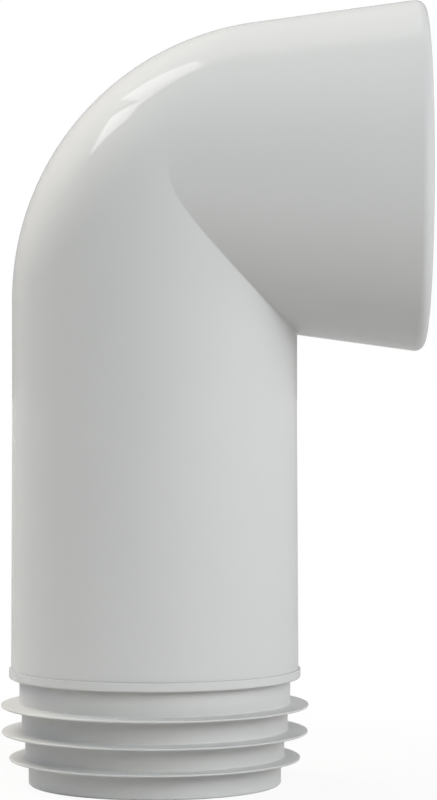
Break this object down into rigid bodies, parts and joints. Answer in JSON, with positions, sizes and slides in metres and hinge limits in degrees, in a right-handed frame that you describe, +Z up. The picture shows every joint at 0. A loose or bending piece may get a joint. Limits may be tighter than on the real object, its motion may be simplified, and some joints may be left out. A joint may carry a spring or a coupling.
{
  "type": "right-angle soil pipe connector",
  "caption": "Right-angle toilet pan connector: a flared push-fit socket with a lip seal, a short bend and a straight pipe that ends in a finned seal.",
  "frame": {"origin": "centre of the outlet end, on the axis of the straight pipe", "axes": "+Z up the straight pipe from the outlet end, +X out of the socket for the pan spigot, +Y across, so that X, Y and Z are right-handed"},
  "size_m": [0.1636, 0.135, 0.3024],
  "materials": {
    "moulding": "satin gloss white polypropylene, as moulded",
    "inlet_seal": "soft white elastomer, matt",
    "outlet_seal": "soft white elastomer, matt"
  },
  "bodies": {
    "root": {"elbow_body": "moulding", "inlet_lip_seal": "inlet_seal", "outlet_fin_seal": "outlet_seal"}
  },
  "joints": []
}
